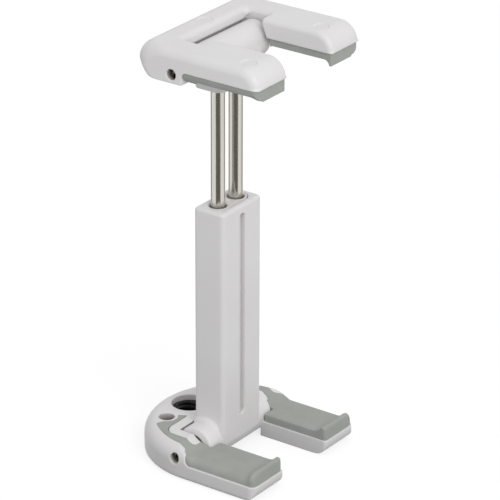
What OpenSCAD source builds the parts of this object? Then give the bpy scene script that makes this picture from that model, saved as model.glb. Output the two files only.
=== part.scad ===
// Tripod phone clamp: two folding jaws on a sprung pair of rods, with a tripod thread in the base.
// Origin: mouth of the tripod thread on the underside of the base. The arms point to -Y, +Z is up.

/* [Grip] */
// Opening between the two pad faces, rods fully drawn out
opening = 90.8; // [86:0.1:96]
// Height of the lower pad face above the floor
pad_face_z = 5.6; // [5.2:0.1:6]
// Distance of the tripod thread from the back edge of the base
insert_edge = 7.95; // [7:0.05:9]

/* [Lower jaw] */
// Width of the lower jaw
base_w = 39.9; // [38:0.1:44]
// Reach of the lower arms in front of the column axis
base_reach = 21.8; // [20:0.1:26]
// Width of the gap between the lower arms
base_gap = 16.6; // [16:0.1:17.4]
// Top of the white arms, where the pads begin
arm_top = 3.74; // [3.2:0.02:4.2]
// Height of the raised rear flange
flange_h = 7.7; // [7.4:0.1:8.4]
// Rounding of the upper edge of the jaw
flange_round = 3.8; // [3:0.1:4.2]
// Centre of the round back, in front of the column axis
back_centre = 1.3; // [0:0.1:3]
// Rounding of the bottom edge
foot_round = 1; // [0.4:0.1:1.6]
// Rounding of the arm ends on the outer side, seen from above
arm_corner = 1.8; // [1:0.1:3]
// Rounding of the arm ends on the inner side, seen from above
arm_inner_corner = 0.8; // [0.4:0.1:1.2]
// Rounding under the arm ends
toe_round = 3.2; // [1:0.1:3.6]

/* [Lower pads] */
// Step from the white edge in to the pad
pad_step = 0.45; // [0.2:0.05:0.8]
// Height of the lip above the pad face
lip_h = 1.25; // [0.8:0.05:1.8]
// Radius of the lip's crest
crest_r = 1.1; // [0.8:0.1:1.4]
// Distance of the crest behind the arm end
crest_in = 1.6; // [1.4:0.1:2]
// Distance of the hollow's centre behind the crest
hollow_in = 2.1; // [2:0.1:2.6]
// Radius of the hollow between pad face and lip
lip_hollow = 1.45; // [1.3:0.05:1.8]
// Lean of the lip's front face
lip_lean = 0.6; // [0.2:0.1:1]
// Radius of the hollow between pad face and flange
ramp_hollow = 8.2; // [6:0.1:10]
// Front end of that hollow, in front of the column axis
ramp_front = 5; // [4.6:0.1:6]
// Back end of the pad on the outer side, in front of the column axis
pad_back = 2.6; // [2.2:0.1:4]
// Bend at the foot of that end
pad_back_bend = 1.3; // [0.8:0.1:1.8]
// Lean of that end towards the back
pad_back_lean = 1.2; // [0.6:0.1:1.6]
// White plastic between the hinge pin and the pad's tail
pin_cover = 0.4; // [0.3:0.1:0.8]
// Step down from the tail's floor to the pad's floor
channel_step = 1; // [0.6:0.1:1.4]
// Width of the white rim round the hinge pocket
rim_w = 2.65; // [2:0.05:3.2]
// Distance of the channel from the outer edge
channel_in = 2.7; // [2.5:0.1:3.4]

/* [Tripod insert] */
// Bore of the tripod thread, inside radius
thread_r = 2.55; // [2.4:0.05:2.6]
// Radius of the insert's collar
insert_collar_r = 4.05; // [3.9:0.05:4.4]
// Thickness of the collar
insert_collar_t = 1.2; // [0.8:0.1:1.6]
// Radius of the insert's body
insert_body_r = 3.5; // [3.3:0.05:3.7]
// Depth of the collar below the flange top
insert_sunk = 1.3; // [0.8:0.1:2]
// Radius of each locating hole beside the thread
locate_r = 1.85; // [1.5:0.05:2]
// Distance of each locating hole from the thread
locate_x = 8.66; // [8.4:0.02:9.2]

/* [Hinges] */
// Radius of the hinge barrel on the column's foot
foot_r = 4.5; // [4.2:0.05:4.55]
// Radius of the hinge barrel on the head
head_r = 4.2; // [4:0.05:4.4]
// Thickness of the jaw's cheeks beside the hinge pocket
cheek_w = 7.85; // [6.4:0.05:8.4]
// Height of the lower hinge axis
lower_axis_z = 4.65; // [4.6:0.05:4.9]
// Upper hinge axis below the white jaw's parting line
upper_axis_drop = 1.6; // [1:0.05:1.6]
// Both hinge axes behind the column axis
axis_back = 0.35; // [0:0.05:0.6]
// Clearance round a barrel in its pocket
barrel_gap = 0.55; // [0.3:0.05:0.7]
// Clearance beside a barrel, which holds a washer
side_gap = 0.5; // [0.45:0.05:0.8]
// Radius of the hinge pins
pin_r = 1.2; // [1:0.05:1.4]
// Depth of each hinge pin below the jaw's side
pin_sunk = 1.4; // [0.8:0.1:2]
// Depth of each pin in its barrel
pin_grip = 3.6; // [2:0.1:4]
// Outside radius of the friction washers
washer_r = 3.4; // [2.6:0.1:3.6]
// Thickness of the friction washers
washer_t = 0.35; // [0.2:0.05:0.4]

/* [Column] */
// Width of the column
col_w = 15; // [14:0.1:15.4]
// Depth of the column
col_d = 7.86; // [7.2:0.02:8]
// Height of the column's top
col_top = 60.85; // [56:0.05:64]
// Rounding of the column's upright edges
col_edge = 1; // [0.6:0.1:1.4]
// Rounding of the column's top edge
col_crown = 0.6; // [0.3:0.1:0.9]
// Fillet between the column and its hinge barrel
foot_fillet = 1; // [0.5:0.1:1.4]
// Width of the groove down the front
groove_w = 1.95; // [1.4:0.05:2.2]
// Depth of the groove
groove_deep = 0.9; // [0.4:0.1:1.1]
// Lower end of the groove above the floor
groove_low = 9.3; // [9.2:0.1:14]
// Distance from the groove's upper end to the column's top
groove_high = 2; // [1.5:0.1:6]

/* [Rods and springs] */
// Radius of the rods
rod_r = 1.7; // [1.5:0.05:1.75]
// Distance between the rod axes
rod_pitch = 6.66; // [6.2:0.02:7]
// Length of the rods
rod_len = 51; // [48:0.5:54]
// Depth of the rods in the head
rod_grip = 5.6; // [4.5:0.1:6]
// Running clearance of the rods in the guide plug
run_gap = 0.06; // [0.03:0.01:0.1]
// Radius of the spring bores in the column
bore_r = 2.35; // [2.3:0.05:2.5]
// Thickness of the guide plug
plug_t = 3.2; // [2.4:0.1:4]
// Width of the wall round the plug's two bores
plug_wall = 0.85; // [0.7:0.05:0.9]
// Radius of the small boss on the plug
boss_r = 0.5; // [0.3:0.1:0.8]
// Height of the boss
boss_h = 0.4; // [0.2:0.1:0.6]
// Radius of the spring wire
wire_r = 0.2; // [0.15:0.01:0.22]
// Turns of each spring
turns = 11; // [8:1:12]
// Height of each collar on the rods' lower ends
collar_h = 3.4; // [2.6:0.1:5]
// Radius of the collar screws' thread
screw_r = 0.9; // [0.7:0.05:1]
// Length of the collar screws' thread
screw_len = 5; // [3:0.5:7]

/* [Head] */
// Rounding of the neck's upright edges
neck_edge = 2; // [1:0.1:3]
// Height of the neck below the upper hinge axis
neck_drop = 7.1; // [6.4:0.1:8]

/* [Upper jaw] */
// Width of the upper jaw
top_w = 39.2; // [38:0.2:42]
// Reach of the upper arms in front of the column axis
top_reach = 22.1; // [20:0.1:26]
// Back of the upper jaw behind the column axis
top_back = 11.25; // [10:0.05:13]
// Width of the gap between the upper arms
top_gap = 16.4; // [16.6:0.1:18]
// Height of the white arms
top_h = 4.65; // [4.4:0.1:5.6]
// Thickness of the upper pads
top_pad_t = 1.7; // [1:0.05:2]
// Height of the upper lip
top_lip_h = 1.3; // [0.8:0.1:1.8]
// Set-in of the upper pads from the arms' front and inner sides
top_pad_in = 0.5; // [0.2:0.05:0.8]
// Rounding of the upper pads' back corners, seen from the side
top_pad_corner = 1.2; // [0.6:0.1:1.5]
// Width of the upper lip's tip
top_lip_tip = 0.55; // [0.4:0.05:1]
// Rounding under the outer edge of the upper pads
top_pad_round = 2.7; // [1.6:0.1:2.7]
// Drop of the rear block below the parting line
heel_drop = 3; // [2.2:0.05:3]
// Front of the rear block in front of the column axis
heel_front = 2.1; // [1.4:0.1:3]
// Length of the ramp that thickens the upper pad at its back
top_ramp = 2; // [1:0.1:3]
// Length of the thick part of the upper pad behind the ramp
top_pad_heel = 1.8; // [1:0.1:2.4]
// Rounding of the outer upper edge
top_round = 3.9; // [2:0.1:4.4]
// Rounding of the inner upper edge
inner_round = 1.8; // [1:0.1:2.4]
// Rounding of the back corners, seen from above
back_corner = 4.6; // [4.5:0.1:7]
// Upper rounding of the back, seen from the side
back_round = 5; // [4:0.1:5]
// How far the back bulges beyond its own plan
back_over = 0.27; // [0:0.01:0.4]
// Lower rounding of the back, seen from the side
heel_round = 7.5; // [6:0.1:9]
// Rounding of the lower back corners, as of a ball
ball_r = 8.85; // [8:0.05:10]
// Distance of the ball's centre from the jaw's side
ball_in = 7.2; // [6.6:0.1:8]
// Distance of the ball's centre from the jaw's back
ball_front = 7.9; // [7:0.1:9]
// Height of the roundings' centres above the parting line
round_up = 1.9; // [1.5:0.05:3]
// Rounding of the upper arm ends on the outer side, seen from above
nose_corner = 1.3; // [0.6:0.1:2]
// Front wall of the back bar behind the column axis
bar_front = 3.3; // [3:0.1:3.8]
// Step in the arms in front of the column axis
step_front = 5.4; // [5:0.1:6.5]
// Radius of the round marks on the top
mark_r = 1.8; // [1:0.1:2.4]
// Offset of the front marks to the left
mark_shift = 1.9; // [0:0.1:2]
// Distance of the front marks from the jaw's side
mark_in = 6; // [5:0.1:7]
// Distance of the front marks from the arm ends
mark_back = 5.1; // [4.6:0.1:7]

/* [Hidden] */
$fn = 48;

// Small lengths used to run a cut past a face, and to leave a fit between two pieces
past = 1;
fit = 0.05;
mark_deep = 0.35;

// Plastic, rubber and metal colours
white = [0.85, 0.845, 0.85];
grey = [0.60, 0.61, 0.585];
steel = [0.66, 0.66, 0.63];
black = [0.06, 0.06, 0.06];

// Heights that follow from the grip
top_pad_z = pad_face_z + opening;
parting_z = top_pad_z + top_pad_t;
top_z = parting_z + top_h;
upper_axis_z = parting_z - upper_axis_drop;
neck_z = upper_axis_z - neck_drop;
heel_z = parting_z - heel_drop;

// Lower jaw
base_r = base_w / 2;
insert_back = base_r - back_centre - insert_edge;
pocket_x = base_r - cheek_w;
barrel_len = 2 * (pocket_x - side_gap);
foot_pocket_r = foot_r + barrel_gap;
head_pocket_r = head_r + barrel_gap;
rim_x = pocket_x + rim_w;
rim_back = axis_back + sqrt(pow(foot_pocket_r, 2) - pow(flange_h - lower_axis_z, 2)) + rim_w;
rim_front = 1.65;
rim_corner = 3;
rim_end = rim_w / 2 - 0.02;
channel_r = base_r - channel_in;
locate_ring = locate_r + 1.35;
insert_ring = insert_collar_r + 2.7;
insert_top = flange_h - insert_sunk;
lip_z = pad_face_z + lip_h;
crest_y = -base_reach + crest_in;
crest_z = lip_z - crest_r;
hollow_y = crest_y + hollow_in;
channel_z = lower_axis_z + pin_r + fit + pin_cover;

// Column and what slides in it
plug_r = rod_r + run_gap + plug_wall;
plug_z = col_top - plug_t;
bore_floor = lower_axis_z + foot_r + 1;
rod_top = neck_z + rod_grip;
rod_low = rod_top - rod_len;
collar_web = 0.8;
collar_low = rod_low - collar_web;
collar_top = collar_low + collar_h;
screw_head_t = 0.8;
spring_r = (bore_r + rod_r) / 2;
spring_low = collar_top + wire_r + fit;
spring_high = plug_z - wire_r - fit;

// A plain rectangle in the plane from one corner to the other
module span(x0, y0, x1, y1) {
    translate([x0, y0]) square([x1 - x0, y1 - y0]);
}

// A rectangle with round corners, centred on the origin
module round_rect(w, d, r) {
    square([w - 2 * r, d], center = true);
    square([w, d - 2 * r], center = true);
    for (sx = [-1, 1], sy = [-1, 1])
        translate([sx * (w / 2 - r), sy * (d / 2 - r)]) circle(r);
}

// A profile in X and Z, carried along Y from y0 to y1
module along_y(y0, y1) {
    translate([0, y1, 0]) rotate([90, 0, 0]) linear_extrude(y1 - y0) children();
}

// A profile in Y and Z, carried along X from x0 to x1
module along_x(x0, x1) {
    translate([x0, 0, 0]) rotate([90, 0, 90]) linear_extrude(x1 - x0) children();
}

// A cylinder along X from x0 to x1 at a hinge axis
module rod_x(x0, x1, r, z) {
    translate([x0, axis_back, z]) rotate([0, 90, 0]) cylinder(h = x1 - x0, r = r);
}

// Everything below is laid out from the column axis, which stands in front of the thread
module at_column() {
    translate([0, -insert_back, 0]) children();
}

// One side of the object: -1 is left, 1 is right
module half(side) {
    intersection() {
        children();
        translate([side < 0 ? -base_w : 0, -base_w, -past])
            cube([base_w, 2 * base_w, top_z + 2 * past]);
    }
}

// Half section of the lower jaw: flat foot with a rounded edge, domed upper edge
module jaw_section() {
    low = foot_round;
    high = flange_h - flange_round;
    span(0, 0, base_r - low, low + past);
    translate([base_r - low, low]) circle(low);
    span(0, low, base_r, high);
    span(0, high - past, base_r - flange_round, flange_h);
    translate([base_r - flange_round, high]) circle(flange_round);
}

// Side view of the lip above the pad face: round crest, with a hollow behind it
module lip_side() {
    difference() {
        union() {
            translate([crest_y, crest_z]) circle(crest_r);
            span(-base_reach, arm_top, crest_y, crest_z);
            span(crest_y, arm_top, hollow_y, crest_z + crest_r / 2);
        }
        translate([hollow_y, pad_face_z + lip_hollow]) circle(lip_hollow);
    }
}

// Side view of the lower jaw: rounded toe, lip, pad face, ramp and flange
module jaw_side() {
    difference() {
        union() {
            span(-base_reach + toe_round, 0, base_r, pad_face_z);
            span(-base_reach, toe_round, 0, pad_face_z);
            translate([toe_round - base_reach, toe_round]) circle(toe_round);
            lip_side();
            difference() {
                span(-ramp_front, pad_face_z - past, base_r, flange_h);
                translate([-ramp_front, pad_face_z + ramp_hollow]) circle(ramp_hollow, $fn = 96);
            }
        }
        // front face of the lip leans back over the white ledge
        polygon([[-base_reach - past, arm_top], [-base_reach + pad_step, arm_top],
            [-base_reach + pad_step + lip_lean, flange_h], [-base_reach - past, flange_h]]);
    }
}

// Waste outside a round corner whose material lies to +X and +Y
module corner_waste(r) {
    difference() {
        translate([-past, -past]) square(r + past);
        translate([r, r]) circle(r);
    }
}

// Plan of the lower jaw, set in by a step all round
module jaw_plan(step) {
    r = base_r - step;
    front = -base_reach + step;
    difference() {
        union() {
            translate([0, -back_centre]) circle(r, $fn = 96);
            span(-r, front + arm_corner, r, -back_centre);
            span(-r + arm_corner, front, r - arm_corner, -back_centre);
            for (side = [-1, 1])
                translate([side * (r - arm_corner), front + arm_corner]) circle(arm_corner);
        }
        translate([base_gap / 2 + step, front]) corner_waste(arm_inner_corner);
        mirror([1, 0]) translate([base_gap / 2 + step, front]) corner_waste(arm_inner_corner);
    }
}

// Gap between the lower arms, with the pocket that the column's foot turns in
module foot_space(step) {
    half_gap = base_gap / 2 + step;
    pocket_front = axis_back - foot_pocket_r;
    translate([-half_gap, -base_reach - past, -past])
        cube([2 * half_gap, base_reach + past + axis_back, flange_h + 2 * past]);
    rod_x(-pocket_x, pocket_x, foot_pocket_r, lower_axis_z);
    translate([-pocket_x, pocket_front, -past])
        cube([2 * pocket_x, 2 * foot_pocket_r, lower_axis_z + past]);
}

// Whole outer form of the lower jaw, white and grey together
module lower_form() {
    intersection() {
        union() {
            translate([0, -back_centre, 0]) rotate_extrude(angle = 180, $fn = 96) jaw_section();
            along_y(-base_reach - past, -back_centre) {
                jaw_section();
                mirror([1, 0]) jaw_section();
            }
        }
        along_x(-base_r - past, base_r + past) jaw_side();
        linear_extrude(flange_h + past) jaw_plan(0);
    }
}

// Plan of the white rim that frames the hinge pocket
module rim_plan() {
    end_y = -rim_front + rim_end;
    span(-rim_x, end_y, rim_x, rim_back - rim_corner);
    span(-rim_x + rim_corner, end_y, rim_x - rim_corner, rim_back);
    for (side = [-1, 1]) {
        translate([side * (rim_x - rim_corner), rim_back - rim_corner]) circle(rim_corner);
        translate([side * (rim_x - rim_end), end_y]) circle(rim_end);
    }
    span(-pocket_x - past, -rim_front, pocket_x + past, end_y);
}

// Plan of the channel that holds the tails of both pads, between the rim and the outer flange
module channel_plan() {
    difference() {
        translate([0, -back_centre]) circle(channel_r, $fn = 96);
        rim_plan();
        translate([0, insert_back]) circle(insert_ring);
        for (side = [-1, 1])
            translate([side * locate_x, insert_back]) circle(locate_ring);
        span(-base_r, insert_back, base_r, base_w);
    }
}

// Space that the pads fill: over the arms, up the ramp, and back round the rim in the channel
module pad_space() {
    bend = pad_back_bend;
    lean_z = arm_top + bend;
    along_x(-base_r - past, base_r + past) {
        span(-base_reach - past, arm_top, -pad_back - bend, flange_h + past);
        polygon([[-pad_back - bend, lean_z], [-pad_back, lean_z],
            [-pad_back + pad_back_lean, flange_h + past], [-pad_back - bend, flange_h + past]]);
        translate([-pad_back - bend, lean_z]) circle(bend);
    }
    translate([0, 0, channel_z]) linear_extrude(flange_h) channel_plan();
    translate([0, 0, channel_z - channel_step]) linear_extrude(flange_h) intersection() {
        channel_plan();
        span(-base_r, -base_reach, base_r, axis_back - pin_r - pin_cover);
    }
}

module base_body() color(white) at_column() {
    difference() {
        lower_form();
        pad_space();
        foot_space(0);
        translate([0, insert_back, -past]) cylinder(r = insert_body_r + fit, h = flange_h + 2 * past);
        translate([0, insert_back, insert_top - insert_collar_t])
            cylinder(r = insert_collar_r + fit, h = flange_h);
        for (side = [-1, 1])
            translate([side * locate_x, insert_back, -past])
                cylinder(r = locate_r, h = flange_h + 2 * past);
        rod_x(-base_r - past, base_r + past, pin_r + fit, lower_axis_z);
    }
}

module lower_pad(side) color(grey) at_column() half(side) {
    difference() {
        intersection() {
            lower_form();
            pad_space();
            linear_extrude(flange_h + past) jaw_plan(pad_step);
        }
        foot_space(pad_step);
    }
}
module lower_pad_left() lower_pad(-1);
module lower_pad_right() lower_pad(1);

module tripod_insert() color(black) {
    difference() {
        union() {
            cylinder(r = insert_body_r, h = insert_top);
            translate([0, 0, insert_top - insert_collar_t])
                cylinder(r = insert_collar_r, h = insert_collar_t);
        }
        translate([0, 0, -past]) cylinder(r = thread_r, h = insert_top + 2 * past);
    }
}

// Headless hinge pin with a hexagon socket in its outer end
module hinge_pin(side, half_w, z) color(steel) at_column() {
    outer = half_w - pin_sunk;
    inner = barrel_len / 2 - pin_grip;
    difference() {
        rod_x(side < 0 ? -outer : inner, side < 0 ? -inner : outer, pin_r, z);
        translate([side * outer, axis_back, z]) rotate([0, 90, 0])
            cylinder(r = pin_r * 0.55, h = pin_sunk, center = true, $fn = 6);
    }
}
module lower_pin_left() hinge_pin(-1, base_r, lower_axis_z);
module lower_pin_right() hinge_pin(1, base_r, lower_axis_z);
module upper_pin_left() hinge_pin(-1, top_w / 2, upper_axis_z);
module upper_pin_right() hinge_pin(1, top_w / 2, upper_axis_z);

// Friction washer between a barrel's end and the pocket wall
module hinge_washer(side, z) color(steel) at_column() {
    middle = side * (barrel_len / 2 + side_gap / 2);
    difference() {
        rod_x(middle - washer_t / 2, middle + washer_t / 2, washer_r, z);
        rod_x(middle - washer_t, middle + washer_t, pin_r + fit, z);
    }
}
module lower_washer_left() hinge_washer(-1, lower_axis_z);
module lower_washer_right() hinge_washer(1, lower_axis_z);
module upper_washer_left() hinge_washer(-1, upper_axis_z);
module upper_washer_right() hinge_washer(1, upper_axis_z);

// Hinge barrel along X with softened ends
module barrel(r, z) {
    soft = 0.7;
    translate([-barrel_len / 2, axis_back, z]) rotate([0, 90, 0]) rotate_extrude() {
        span(0, 0, r - soft, barrel_len);
        span(0, soft, r, barrel_len - soft);
        translate([r - soft, soft]) intersection() { circle(soft); span(-soft, -soft, soft, 0); }
        translate([r - soft, barrel_len - soft]) intersection() { circle(soft); span(-soft, 0, soft, soft); }
    }
}

// Fillet where a barrel leaves the column's sides; the column stands above (1) or below (-1) it
module barrel_fillet(r, z, way) {
    f = foot_fillet;
    intersection() {
        for (side = [-1, 1])
            translate([side * (col_w / 2 - past), axis_back, z]) rotate([0, side * 90, 0])
                rotate_extrude() difference() {
                    span(0, 0, r + f, past + f);
                    translate([r + f, past + f]) circle(f);
                }
        translate([-col_w, -col_d / 2, way > 0 ? z : z - 2 * r]) cube([2 * col_w, col_d, 2 * r]);
    }
}

// The two blind holes in a barrel that turn on the hinge pins
module barrel_holes(z) {
    deep = pin_grip + 0.4;
    for (x = [-barrel_len / 2 - past, barrel_len / 2 - deep])
        rod_x(x, x + deep + past, pin_r + fit, z);
}

// Pairs of anything at the two rod axes
module at_rod(side) at_column() translate([side * rod_pitch / 2, 0, 0]) children();

// Plan of the guide plug: a slot shape round both rods
module plug_plan(r) {
    for (side = [-1, 1]) translate([side * rod_pitch / 2, 0]) circle(r);
    square([rod_pitch, 2 * r], center = true);
}

module column_housing() color(white) at_column() {
    difference() {
        union() {
            intersection() {
                translate([0, 0, lower_axis_z]) linear_extrude(col_top - lower_axis_z)
                    round_rect(col_w, col_d, col_edge);
                along_y(-col_d, col_d) column_face(col_w);
                along_x(-col_w, col_w) column_face(col_d);
            }
            barrel(foot_r, lower_axis_z);
            barrel_fillet(foot_r, lower_axis_z, 1);
        }
        groove();
        for (side = [-1, 1])
            translate([side * rod_pitch / 2, 0, bore_floor]) cylinder(r = bore_r, h = col_top);
        translate([0, 0, plug_z]) linear_extrude(col_top) plug_plan(plug_r + fit);
        barrel_holes(lower_axis_z);
    }
}

// Face of the column with its two upper corners rounded
module column_face(w) {
    span(-w / 2, 0, w / 2, col_top - col_crown);
    span(-w / 2 + col_crown, 0, w / 2 - col_crown, col_top);
    for (side = [-1, 1])
        translate([side * (w / 2 - col_crown), col_top - col_crown]) circle(col_crown);
}

// Long groove with round ends down the middle of the front
module groove() {
    r = groove_w / 2;
    along_y(-col_d, -col_d / 2 + groove_deep) {
        span(-r, groove_low + r, r, col_top - groove_high - r);
        for (z = [groove_low + r, col_top - groove_high - r]) translate([0, z]) circle(r);
    }
}

// Guide plug that the rods slide through, with a flared mouth round each rod and a small boss
module guide_plug() color(white) at_column() {
    flare = 0.3;
    difference() {
        union() {
            translate([0, 0, plug_z + fit]) linear_extrude(plug_t - fit) plug_plan(plug_r);
            translate([0, 0, col_top - past]) cylinder(r = boss_r, h = past + boss_h);
        }
        for (side = [-1, 1]) translate([side * rod_pitch / 2, 0, 0]) {
            translate([0, 0, plug_z - past]) cylinder(r = rod_r + run_gap, h = plug_t + 2 * past);
            translate([0, 0, col_top - flare]) cylinder(r = rod_r + run_gap + flare, h = past);
        }
    }
}

// Points of a circle of wire, at an angle along the coil, laid square to its path
function wire_ring(a, sides) = [for (i = [0 : sides - 1])
    let (b = 360 * i / sides, r = spring_r + wire_r * cos(b))
    [r * cos(a), r * sin(a), wire_r * sin(b) + coil_z(a)]];

// Height of the coil at an angle: a flat turn at each end, an even pitch between
function coil_z(a) = let (
    whole = 360 * turns,
    flat_t = 2 * wire_r,
    rise = spring_high - spring_low - 2 * flat_t,
    t = (a - 360) / (whole - 720))
    spring_low + flat_t * min(1, a / 360)
    + rise * max(0, min(1, t))
    + flat_t * max(0, min(1, (a - whole + 360) / 360));

// Compression spring round a rod, between its collar and the guide plug
module spring(side) color(steel) at_rod(side) {
    sides = 6;
    steps = 16;
    rings = turns * steps + 1;
    points = [for (k = [0 : rings - 1]) each wire_ring(360 * k / steps, sides)];
    skin = [for (k = [0 : rings - 2], i = [0 : sides - 1])
        let (j = (i + 1) % sides)
        [k * sides + i, k * sides + j, (k + 1) * sides + j, (k + 1) * sides + i]];
    ends = [[for (i = [sides - 1 : -1 : 0]) i], [for (i = [0 : sides - 1]) (rings - 1) * sides + i]];
    polyhedron(points = points, faces = concat(skin, ends));
}
module spring_left() spring(-1);
module spring_right() spring(1);

// Ground steel rod, tapped at its lower end for the collar screw
module rod(side) color(steel) at_rod(side) {
    difference() {
        translate([0, 0, rod_low]) cylinder(r = rod_r, h = rod_len);
        translate([0, 0, rod_low - past]) cylinder(r = screw_r + fit, h = screw_len + past + 0.5);
    }
}
module rod_left() rod(-1);
module rod_right() rod(1);

// Sliding collar: a cup over the rod's lower end that carries the spring
module collar(side) color(grey) at_rod(side) {
    difference() {
        translate([0, 0, collar_low]) cylinder(r = bore_r - run_gap, h = collar_h);
        translate([0, 0, rod_low]) cylinder(r = rod_r + fit / 2, h = collar_h);
        translate([0, 0, collar_low - past]) cylinder(r = screw_r + fit, h = collar_h);
    }
}
module collar_left() collar(-1);
module collar_right() collar(1);

// Pan-head screw that holds the collar to the rod
module collar_screw(side) color(steel) at_rod(side) {
    difference() {
        union() {
            translate([0, 0, collar_low - screw_head_t]) cylinder(r = rod_r, h = screw_head_t);
            translate([0, 0, collar_low - fit]) cylinder(r = screw_r, h = screw_len);
        }
        translate([0, 0, collar_low - screw_head_t - past])
            cylinder(r = screw_r * 0.6, h = past + screw_head_t * 0.6, $fn = 6);
    }
}
module collar_screw_left() collar_screw(-1);
module collar_screw_right() collar_screw(1);

// Head: neck like the column's section, with a dimple for the plug's boss, and the barrel across it
module head_block() color(white) at_column() {
    difference() {
        union() {
            translate([0, 0, neck_z]) linear_extrude(neck_drop) round_rect(col_w, col_d, neck_edge);
            barrel(head_r, upper_axis_z);
            barrel_fillet(head_r, upper_axis_z, -1);
        }
        for (side = [-1, 1])
            translate([side * rod_pitch / 2, 0, neck_z - past])
                cylinder(r = rod_r + fit / 2, h = rod_grip + past + 0.2);
        translate([0, 0, neck_z - past]) cylinder(r = boss_r + 0.3, h = past + boss_h + 0.3);
        barrel_holes(upper_axis_z);
    }
}

// Quarter disc in the corner between X and Y
module quarter(r) {
    intersection() {
        circle(r);
        square(r);
    }
}

// Half section of an upper arm, from its inner side out, standing on the parting line
module arm_section(inner) {
    outer = top_w / 2;
    span(inner, 0, outer, top_h - top_round);
    span(inner, 0, outer - top_round, top_h - inner_round);
    span(inner + inner_round, 0, outer - top_round, top_h);
    translate([outer - top_round, top_h - top_round]) quarter(top_round);
    translate([inner + inner_round, top_h - inner_round]) mirror([1, 0]) quarter(inner_round);
}

// One arm of the upper jaw: narrower gap in front, wider window behind the step
module top_arm() {
    corner_y = top_back - back_corner;
    translate([0, 0, parting_z]) {
        along_y(-top_reach, -step_front) arm_section(top_gap / 2);
        along_y(-step_front - past / 2, corner_y) arm_section(pocket_x);
        translate([top_w / 2 - back_corner, corner_y, 0]) rotate_extrude(angle = 90) {
            span(0, 0, back_corner, top_h - top_round);
            span(0, 0, back_corner - top_round, top_h);
            translate([back_corner - top_round, top_h - top_round]) quarter(top_round);
        }
    }
}

// The bar across the back, rounded above the window
module back_bar() {
    half_w = top_w / 2 - back_corner;
    translate([0, 0, parting_z]) along_x(-half_w, half_w) {
        span(bar_front, 0, top_back, top_h - inner_round);
        span(bar_front + inner_round, 0, top_back, top_h);
        translate([bar_front + inner_round, top_h - inner_round]) mirror([1, 0]) quarter(inner_round);
    }
}

// Plan of the upper jaw with its corners
module top_plan() {
    half_w = top_w / 2;
    difference() {
        union() {
            span(-half_w, -top_reach + nose_corner, half_w, top_back - back_corner);
            span(-half_w + nose_corner, -top_reach, half_w - nose_corner, 0);
            span(-half_w + back_corner, 0, half_w - back_corner, top_back);
            for (side = [-1, 1]) {
                translate([side * (half_w - nose_corner), -top_reach + nose_corner]) circle(nose_corner);
                translate([side * (half_w - back_corner), top_back - back_corner]) circle(back_corner);
            }
        }
        translate([top_gap / 2, -top_reach]) corner_waste(arm_inner_corner);
        mirror([1, 0]) translate([top_gap / 2, -top_reach]) corner_waste(arm_inner_corner);
    }
}

// Side view of the upper jaw: bullnose in front, two broad roundings at the back
module top_side() {
    nose_y = -top_reach + top_h;
    back_y = top_back + back_over - back_round;
    heel_y = top_back - heel_round;
    intersection() {
        union() {
            span(nose_y, heel_z - past, back_y, top_z);
            span(-top_reach, heel_z - past, nose_y, parting_z);
            translate([nose_y, parting_z]) circle(top_h, $fn = 64);
            translate([back_y, top_z - back_round]) circle(back_round, $fn = 64);
        }
        union() {
            span(-top_reach - past, heel_z, heel_y, top_z + past);
            translate([heel_y, parting_z + round_up]) circle(heel_round, $fn = 96);
        }
    }
}

// What a ball-shaped rounding takes off a lower back corner
module ball_waste() {
    at = [top_w / 2 - ball_in, top_back - ball_front, parting_z + round_up];
    difference() {
        translate([at[0], at[1], heel_z - past]) cube([ball_in + past, ball_front + past, at[2] - heel_z + past]);
        translate(at) sphere(ball_r, $fn = 96);
    }
}

// Window and pocket that the head barrel turns in, open below
module head_space() {
    rod_x(-pocket_x, pocket_x, head_pocket_r, upper_axis_z);
    translate([-pocket_x, -step_front, upper_axis_z])
        cube([2 * pocket_x, step_front + bar_front, top_h + heel_drop]);
    translate([-pocket_x, -step_front, heel_z - past])
        cube([2 * pocket_x, step_front + axis_back + head_pocket_r, upper_axis_z - heel_z + past]);
    translate([-top_gap / 2, -top_reach - past, heel_z - past])
        cube([top_gap, top_reach + past, top_h + heel_drop + 2 * past]);
}

module upper_jaw() color(white) at_column() {
    mark_x = top_w / 2 - mark_in;
    mark_y = -top_reach + mark_back;
    back_y = top_back + back_over - back_round + mark_r;
    difference() {
        intersection() {
            union() {
                top_arm();
                mirror([1, 0, 0]) top_arm();
                back_bar();
                translate([0, 0, heel_z]) linear_extrude(heel_drop + past / 2)
                    span(-top_w / 2, -heel_front, top_w / 2, top_back);
                along_x(-top_w / 2, top_w / 2) heel_corner();
            }
            along_x(-top_w, top_w) top_side();
            translate([0, 0, heel_z - past]) linear_extrude(top_h + heel_drop + 2 * past) top_plan();
        }
        ball_waste();
        mirror([1, 0, 0]) ball_waste();
        head_space();
        rod_x(-top_w, top_w, pin_r + fit, upper_axis_z);
        for (at = [[-mark_x - mark_shift, mark_y], [mark_x - mark_shift, mark_y],
                [0, (bar_front + back_y) / 2]])
            translate([at[0], at[1], top_z - mark_deep]) cylinder(r = mark_r, h = past);
    }
}

// Side view of the white corner between heel and arm that rounds off a pad's back end
module heel_corner() {
    r = top_pad_corner;
    difference() {
        span(-heel_front - r, parting_z - r, -heel_front + past / 2, parting_z + past / 2);
        translate([-heel_front - r, parting_z - r]) circle(r);
    }
}

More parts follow.
